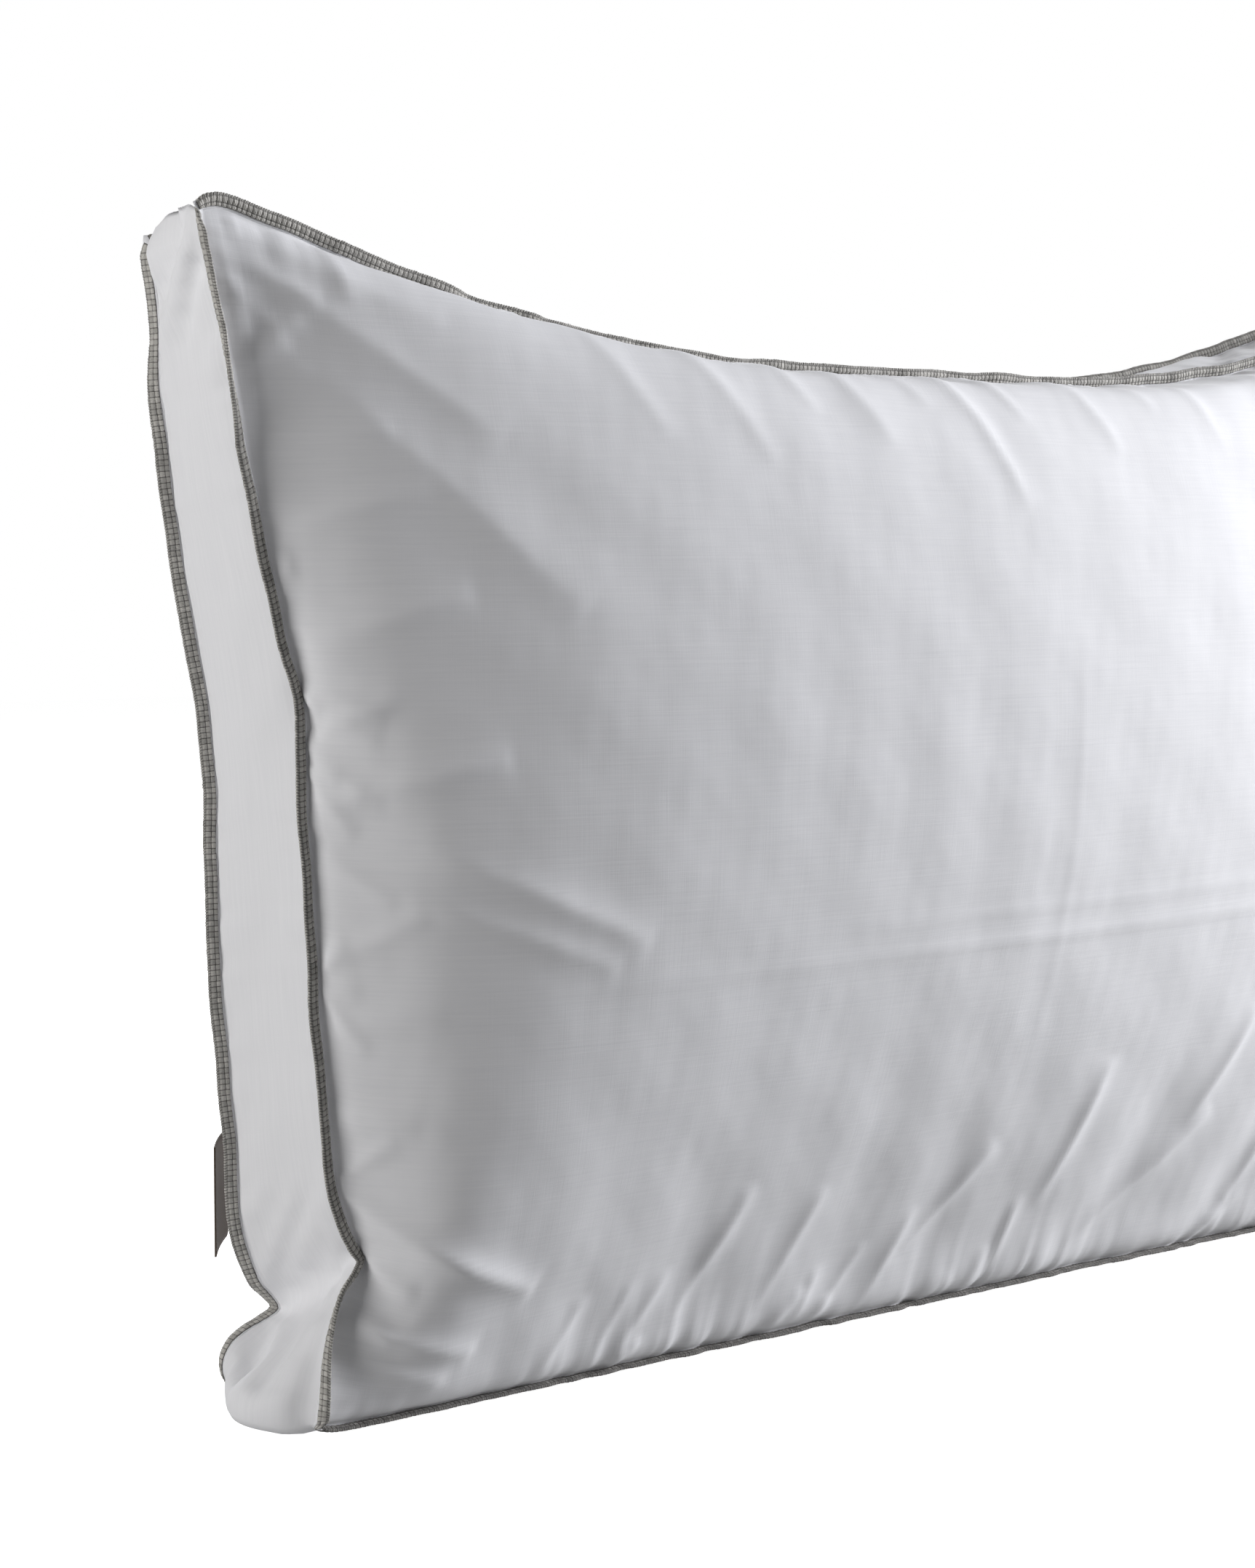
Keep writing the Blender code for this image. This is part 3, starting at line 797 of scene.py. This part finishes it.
def add_stitching(name, loop, frames, first, last, body, look):
    """Overlock stitching along a seam loop, between two arc lengths from the loop's start."""
    flange, side = frames
    closed = np.vstack([loop, loop, loop[:1]])
    run = np.r_[0, np.cumsum(np.linalg.norm(np.diff(closed, axis=0), axis=1))]
    fields = np.hstack([np.vstack([a, a, a[:1]]) for a in (loop, flange, side)])
    count = max(2, round((last - first) / PITCH))
    own = np.random.default_rng(len(name) * 101 + int(first * 1000))
    rows = [(tile, (tile + share) / count, *rest) for tile in range(count) for share, *rest in STATIONS]
    stitch, places, rises, beads = np.array(rows + [(count - 1, 1.0, 0.0, 0.0)]).T
    stitch = stitch.astype(int)
    at = first + (last - first) * places
    fields = np.stack([np.interp(at, run, fields[:, k]) for k in range(9)], 1)
    centre, flange, side = fields[:, :3], fields[:, 3:6], fields[:, 6:]
    along = np.gradient(centre, axis=0)
    along /= np.linalg.norm(along, axis=1)[:, None]
    size = len(PROFILE)
    fullness = own.uniform(0.75, 1.2, (count, size))[stitch]
    reach = PROFILE[:, 0] + own.normal(0, 0.00006, (count, size))[stitch]
    rise = rises[:, None] * PROFILE[:, 4] * fullness
    bead = beads[:, None] * PROFILE[:, 5]
    high = STITCH_RELIEF * (rise + 0.8 * bead)
    ends = np.minimum(places, 1 - places) * count
    taper = np.clip(ends / 1.2, 0, 1) ** 0.5
    reach = STITCH_START + (reach - STITCH_START) * (0.72 + 0.28 * taper)[:, None]
    slant = PROFILE[:, 6] * PITCH * 0.5
    points = (
        centre[:, None]
        + flange[:, None] * (reach + high * PROFILE[:, 2])[..., None]
        + side[:, None] * (PROFILE[:, 1] + high * PROFILE[:, 3])[..., None]
        + along[:, None] * (slant * np.clip(ends, 0, 1)[:, None])[..., None]
    )
    stations = len(places)
    index = np.arange(stations * size).reshape(stations, size)
    a, b = index[:-1], index[1:]
    cells = np.stack([a, np.roll(a, -1, 1), np.roll(b, -1, 1), b], -1).reshape(-1, 4)
    faces = cells.tolist() + [index[0][::-1].tolist(), index[-1].tolist()]
    turn = np.arange(size) / size
    uv = np.stack(np.broadcast_arrays(places[:, None] * count, turn[None]), -1).reshape(-1, 2)
    obj = add_piece(name, points.reshape(-1, 3), faces, look, body, uv)
    # Painted shade: the foot's stitching, which lies under the belly's edge, is coloured darker.
    painted_shading = np.clip((rise + bead * 0.8), 0, 1).ravel() * (0.35 if "foot" in name else 1)
    tone = own.uniform(0, 1, (count, 3))[stitch][:, np.digitize(np.arange(size), (4.5, 11.5))]
    # Painted shade: the first channel darkens the thread where it dips between stitches; the second is
    # a tone per bundle.
    colour = obj.data.attributes.new("stitch", "FLOAT_COLOR", "POINT")
    data = np.stack([painted_shading, tone.ravel(), np.zeros(painted_shading.size), np.ones(painted_shading.size)], 1)
    colour.data.foreach_set("color", data.astype(np.float32).ravel())
    return obj


def add_label():
    """The sewn-in tab, slightly curled, on the plane its CAD node lies in."""
    low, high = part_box("label")
    hinge = Vector(next(j for j in frame["joints"] if j["name"] == "label_flap")["pos_m"])
    root = Vector((hinge.x, hinge.y, 0))
    points = [v.co for v in frame["nodes"]["label"].data.vertices]
    tip = max(points, key=lambda p: (Vector((p.x, p.y, 0)) - root).length)
    leave = (Vector((tip.x, tip.y, 0)) - root).normalized()
    outside = Vector((-leave.y, leave.x, 0))
    length = (Vector((tip.x, tip.y, 0)) - root).dot(leave)
    tall, corner = high.z - low.z, LABEL_CORNER
    columns, rows = 24, 24
    vertices, faces = [], []
    for layer in (0.0, LABEL_THICKNESS):
        for i in range(columns + 1):
            for j in range(rows + 1):
                u, v = i / columns, 2 * j / rows - 1
                far = max(0.0, u * length - (length - corner))
                most = tall / 2 - (corner - math.sqrt(max(0.0, corner**2 - far**2)))
                bend = LABEL_BOW * math.sin(math.pi * u) + LABEL_CURL * math.sin(2.3 * v + 1.2) * u
                place = root + leave * (u * length) + outside * (bend - LABEL_THICKNESS + layer)
                vertices.append((place.x, place.y, (low.z + high.z) / 2 + v * most))
    index = np.arange(len(vertices)).reshape(2, columns + 1, rows + 1)
    for layer in (0, 1):
        for i in range(columns):
            for j in range(rows):
                face = [int(index[layer, i + x, j + z]) for x, z in ((0, 0), (1, 0), (1, 1), (0, 1))]
                faces.append(face if layer == 0 else face[::-1])
    rim = [(i, 0) for i in range(columns)] + [(columns, j) for j in range(rows)]
    rim += [(i, rows) for i in range(columns, 0, -1)] + [(0, j) for j in range(rows, 0, -1)]
    for (i, j), (k, m) in zip(rim, rim[1:] + rim[:1]):
        faces.append([int(index[n]) for n in ((1, i, j), (1, k, m), (0, k, m), (0, i, j))])
    return add_piece("woven_label", vertices, faces, LABEL, "label")


# ---------------- materials


def new_material(name, colour, roughness, sheen=0.0):
    made = bpy.data.materials.new(name)
    made.use_nodes = True
    shader = made.node_tree.nodes["Principled BSDF"]
    shader.inputs["Base Color"].default_value = (*colour, 1)
    shader.inputs["Roughness"].default_value = roughness
    shader.inputs["Sheen Weight"].default_value = sheen
    shader.inputs["Specular IOR Level"].default_value = 0.3
    return made, made.node_tree.nodes, made.node_tree.links, shader


def node(nodes, kind, **values):
    made = nodes.new(kind)
    for key, value in values.items():
        if hasattr(made, key):
            setattr(made, key, value)
        else:
            made.inputs[key.replace("_", " ")].default_value = value
    return made


def colour_ramp(nodes, *stops):
    ramp = node(nodes, "ShaderNodeValToRGB")
    for element, (position, colour) in zip(ramp.color_ramp.elements, stops):
        element.position, element.color = position, colour
    return ramp


def stretched_noise(nodes, links, place, scale, **values):
    """Noise whose grain is drawn out along the axis with the smaller scale."""
    mapping = node(nodes, "ShaderNodeMapping")
    mapping.inputs["Scale"].default_value = scale
    links.new(place.outputs[0], mapping.inputs[0])
    noise = node(nodes, "ShaderNodeTexNoise", Scale=1.0, **values)
    links.new(mapping.outputs[0], noise.inputs["Vector"])
    return noise


# Grain of the percale, as (scale, share of the relief): fine threads both ways, then a few thick ones
GRAIN = (((60, 2600, 1), 0.5), ((2600, 60, 1), 0.5), ((9, 900, 1), 0.9), ((700, 9, 1), 0.6))


def percale():
    """Plain weave: fine threads both ways, a few thick ones, and a faint unevenness of tone."""
    made, nodes, links, shader = new_material("percale", (0.80, 0.81, 0.83), 0.82, 0.15)
    place = node(nodes, "ShaderNodeUVMap", uv_map="cut")
    bumps = []
    for scale, strength in GRAIN:
        noise = stretched_noise(nodes, links, place, scale, Detail=2.0, Roughness=0.6)
        scaled = node(nodes, "ShaderNodeMath", operation="MULTIPLY")
        scaled.inputs[1].default_value = strength
        links.new(noise.outputs["Fac"], scaled.inputs[0])
        bumps.append(scaled)
    total = bumps[0]
    for other in bumps[1:]:
        added = node(nodes, "ShaderNodeMath", operation="ADD")
        links.new(total.outputs[0], added.inputs[0])
        links.new(other.outputs[0], added.inputs[1])
        total = added
    bump = node(nodes, "ShaderNodeBump", Strength=0.13, Distance=0.0004)
    links.new(total.outputs[0], bump.inputs["Height"])
    links.new(bump.outputs[0], shader.inputs["Normal"])
    slub = stretched_noise(nodes, links, place, (22, 700, 1), Detail=3.0, Roughness=0.65)
    ramp = colour_ramp(nodes, (0.25, (0.780, 0.783, 0.808, 1)), (0.75, (0.825, 0.826, 0.848, 1)))
    links.new(slub.outputs["Fac"], ramp.inputs[0])
    links.new(ramp.outputs[0], shader.inputs["Base Color"])
    return made


def thread():
    """Spun thread, with painted shade where it dips between stitches, a tone per bundle and fine
    filaments.
    """
    made, nodes, links, shader = new_material("edging_thread", (0.40, 0.39, 0.37), 0.75, 0.1)
    seen = node(nodes, "ShaderNodeAttribute", attribute_name="stitch")
    parts = node(nodes, "ShaderNodeSeparateColor")
    links.new(seen.outputs["Color"], parts.inputs[0])
    # Painted shade: the ramp turns the thread dark where it dips between stitches and along the foot.
    ramp = colour_ramp(nodes, (0.1, (0.12, 0.115, 0.108, 1)), (0.62, (0.50, 0.485, 0.455, 1)))
    links.new(parts.outputs[0], ramp.inputs[0])
    tone = node(nodes, "ShaderNodeMapRange")
    tone.inputs["To Min"].default_value = 0.72
    tone.inputs["To Max"].default_value = 1.12
    links.new(parts.outputs[1], tone.inputs["Value"])
    place = node(nodes, "ShaderNodeUVMap", uv_map="cut")
    fibres = stretched_noise(nodes, links, place, (7, 9, 1), Detail=3.0, Roughness=0.7)
    strands = node(
        nodes, "ShaderNodeTexWave", bands_direction="X", Scale=1.0, Distortion=1.2, Detail=1.5
    )
    links.new(place.outputs[0], strands.inputs["Vector"])
    mixed = node(nodes, "ShaderNodeMix", data_type="RGBA", blend_type="MULTIPLY")
    mixed.inputs[0].default_value = 1.0
    grey = node(nodes, "ShaderNodeCombineColor")
    for slot in range(3):
        links.new(tone.outputs[0], grey.inputs[slot])
    links.new(ramp.outputs[0], mixed.inputs[6])
    links.new(grey.outputs[0], mixed.inputs[7])
    links.new(mixed.outputs[2], shader.inputs["Base Color"])
    added = node(nodes, "ShaderNodeMath", operation="ADD")
    links.new(strands.outputs["Fac"], added.inputs[0])
    links.new(fibres.outputs["Fac"], added.inputs[1])
    bump = node(nodes, "ShaderNodeBump", Strength=0.6, Distance=0.0002)
    links.new(added.outputs[0], bump.inputs["Height"])
    links.new(bump.outputs[0], shader.inputs["Normal"])
    return made


def fibre():
    made, nodes, links, shader = new_material("filling_fibre", (0.90, 0.90, 0.88), 0.95, 0.3)
    noise = node(nodes, "ShaderNodeTexNoise", Scale=140.0, Detail=6.0, Roughness=0.7)
    place = node(nodes, "ShaderNodeTexCoord")
    links.new(place.outputs["Object"], noise.inputs["Vector"])
    bump = node(nodes, "ShaderNodeBump", Strength=0.7, Distance=0.002)
    links.new(noise.outputs["Fac"], bump.inputs["Height"])
    links.new(bump.outputs[0], shader.inputs["Normal"])
    return made


def label_cloth():
    """Close dark satin weave."""
    made, nodes, links, shader = new_material("label_cloth", (0.085, 0.062, 0.046), 0.7)
    place = node(nodes, "ShaderNodeTexCoord")
    ribs = node(
        nodes, "ShaderNodeTexWave", bands_direction="Z", Scale=420.0, Distortion=0.6, Detail=1.0
    )
    links.new(place.outputs["Object"], ribs.inputs["Vector"])
    noise = node(nodes, "ShaderNodeTexNoise", Scale=900.0, Detail=3.0)
    links.new(place.outputs["Object"], noise.inputs["Vector"])
    ramp = colour_ramp(nodes, (0, (0.062, 0.043, 0.031, 1)), (1, (0.118, 0.088, 0.066, 1)))
    links.new(noise.outputs["Fac"], ramp.inputs[0])
    links.new(ramp.outputs[0], shader.inputs["Base Color"])
    bump = node(nodes, "ShaderNodeBump", Strength=0.5, Distance=0.0003)
    links.new(ribs.outputs["Fac"], bump.inputs["Height"])
    links.new(bump.outputs[0], shader.inputs["Normal"])
    return made


# ---------------- the pillow


PERCALE, THREAD, FIBRE, LABEL = percale(), thread(), fibre(), label_cloth()
loops = [seam_loop(FRONT), seam_loop(REAR)]
drawn, cut = drawn_and_cut(loops)
filled = fill_cover(drawn, cut)
filled[:, 2] = soft_floor(filled[:, 2], *LOWEST)

finished = [finished_panel(filled, cut, number, facing) for number, facing in enumerate((FRONT, REAR))]
panels, cuts = zip(*finished)
rims = [rim_of(grid) for grid in panels]
frames = [flange_frames(rim, facing) for rim, facing in zip(rims, (FRONT, REAR))]
band = finished_band(filled, rims)

front = add_panel("front_cover", panels[0], cuts[0], FRONT, *frames[0], PERCALE)
rear = add_panel("rear_cover", panels[1], cuts[1], REAR, *frames[1], PERCALE)
gusset = add_gusset(band, frames, PERCALE)

for side, loop, kit, facing in zip(("front", "rear"), rims, frames, (FRONT, REAR)):
    run = np.r_[0, np.cumsum(np.linalg.norm(np.diff(np.vstack([loop, loop[:1]]), axis=0), axis=1))]
    corners = [run[k] for k in (0, FX, FX + FZ, 2 * FX + FZ)] + [run[-1]]
    for (place, cad), first, last in zip(RUNS, corners, corners[1:]):
        name = f"{side}_stitching_{place}"
        piece = add_stitching(name, loop, kit, first + RUN_GAP, last - RUN_GAP, "pillow", THREAD)
        if facing == REAR:
            piece.data.flip_normals()
        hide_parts(f"{side}_edging_{cad}")


filling = add_piece("filling_core", filling_points(panels, band), cover_faces(), FIBRE)
label = add_label()

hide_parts("front_panel")
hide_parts("rear_panel")
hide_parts("gusset")
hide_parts("filling")
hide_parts("label")

# ---------------- studio


def add_light(name, place, size, power, colour=(1, 1, 1)):
    data = bpy.data.lights.new(name, "AREA")
    data.shape = "RECTANGLE"
    data.size, data.size_y = size
    data.energy = power
    data.color = colour
    obj = bpy.data.objects.new(name, data)
    bpy.context.scene.collection.objects.link(obj)
    obj.location = place
    obj.rotation_euler = (Vector((0, 0, 0.25)) - Vector(place)).to_track_quat("-Z", "Y").to_euler()
    return obj


add_light("key_right", (2.1, -1.15, 1.1), (1.0, 1.2), 98, (0.965, 0.972, 1))
add_light("side_left", (-1.95, 0.22, 0.6), (0.9, 1.4), 20, (1, 0.99, 0.975))
add_light("rear_fill", (0.9, 2.4, 1.3), (1.6, 1.6), 36, (0.975, 0.98, 1))

world = bpy.data.worlds.new("studio")
bpy.context.scene.world = world
world.use_nodes = True
nodes, links = world.node_tree.nodes, world.node_tree.links
background = nodes["Background"]
background.inputs[0].default_value = (1, 1, 1, 1)
# As a pale floor would, the lower half gives more light than the upper one.
direction = nodes.new("ShaderNodeTexCoord")
height = nodes.new("ShaderNodeSeparateXYZ")
links.new(direction.outputs["Generated"], height.inputs[0])
glow = nodes.new("ShaderNodeMapRange")
glow.inputs["From Min"].default_value, glow.inputs["From Max"].default_value = -0.5, 0.5
glow.inputs["To Min"].default_value, glow.inputs["To Max"].default_value = 0.29, 0.08
links.new(height.outputs["Z"], glow.inputs["Value"])
links.new(glow.outputs[0], background.inputs[1])
seen = nodes.new("ShaderNodeBackground")
seen.inputs[1].default_value = 1.0
seen.inputs[0].default_value = (1, 1, 1, 1)
path = nodes.new("ShaderNodeLightPath")
mix = nodes.new("ShaderNodeMixShader")
links.new(path.outputs["Is Camera Ray"], mix.inputs[0])
links.new(background.outputs[0], mix.inputs[1])
links.new(seen.outputs[0], mix.inputs[2])
links.new(mix.outputs[0], nodes["World Output"].inputs[0])

floor_mesh = bpy.data.meshes.new("floor")
floor_mesh.from_pydata([(-6, -6, 0), (6, -6, 0), (6, 6, 0), (-6, 6, 0)], [], [(0, 1, 2, 3)])
floor = bpy.data.objects.new("floor", floor_mesh)
bpy.context.scene.collection.objects.link(floor)
floor.location.z = -0.0002
pale, nodes, links, shader = new_material("pale_floor", (0.93, 0.93, 0.93), 0.9)
shader.inputs["Emission Color"].default_value = (1, 1, 1, 1)
shader.inputs["Emission Strength"].default_value = 0.90
floor_mesh.materials.append(pale)
floor.visible_diffuse = False

camera_data = bpy.data.cameras.new("camera")
camera = bpy.data.objects.new("camera", camera_data)
bpy.context.scene.collection.objects.link(camera)
camera_data.sensor_fit = "HORIZONTAL"
camera_data.sensor_width = 36
camera_data.lens = 88.2
camera.location = (-1.0475, -1.066, 0.3585)
camera.rotation_euler = (math.radians(90 - 4.13), 0, math.radians(-40))
bpy.context.scene.camera = camera
bpy.context.scene.view_settings.view_transform = "Standard"
